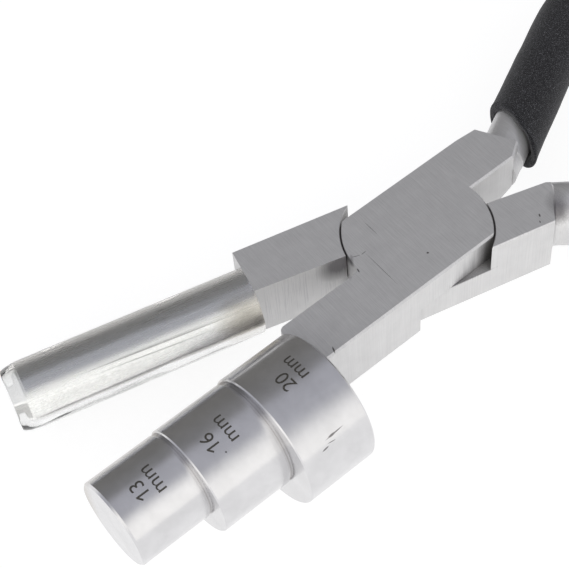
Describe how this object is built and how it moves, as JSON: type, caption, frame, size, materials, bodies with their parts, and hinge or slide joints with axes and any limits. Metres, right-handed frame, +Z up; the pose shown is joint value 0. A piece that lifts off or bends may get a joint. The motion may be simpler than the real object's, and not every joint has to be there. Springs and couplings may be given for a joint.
{
  "type": "wire wrapping pliers",
  "caption": "Hand pliers for forming wire loops: an eccentric stepped round barrel on one jaw, a sleeved round rod on the other, lap joint, bowed handles with foam grips.",
  "frame": {"origin": "on the pivot axis, at the joint's underside face", "axes": "+X from the jaws to the handles along the line halfway between the two halves, +Z up along the pivot axis, out of the joint's marked face, +Y towards the plain half's jaw"},
  "size_m": [0.169, 0.0718, 0.02],
  "materials": {
    "lever_steel": "satin, ground along the faces",
    "barrel_steel": "satin, turned",
    "rod_steel": "polished",
    "clear_plastic": "clear, glossy",
    "grip_foam": "closed-cell foam, matt"
  },
  "bodies": {
    "plain_half": {"plain_lever": "lever_steel", "round_jaw": "rod_steel", "jaw_sleeve": "clear_plastic", "plain_grip": "grip_foam"},
    "stepped_half": {"stepped_lever": "lever_steel", "stepped_barrel": "barrel_steel", "stepped_grip": "grip_foam", "pivot_rivet": "lever_steel"}
  },
  "joints": [
    {"name": "pivot", "type": "hinge", "parent": "plain_half", "child": "stepped_half", "pos_m": [0, 0, 0.00492], "axis": [0, 0, 1], "range_deg": [-10, 40]}
  ]
}
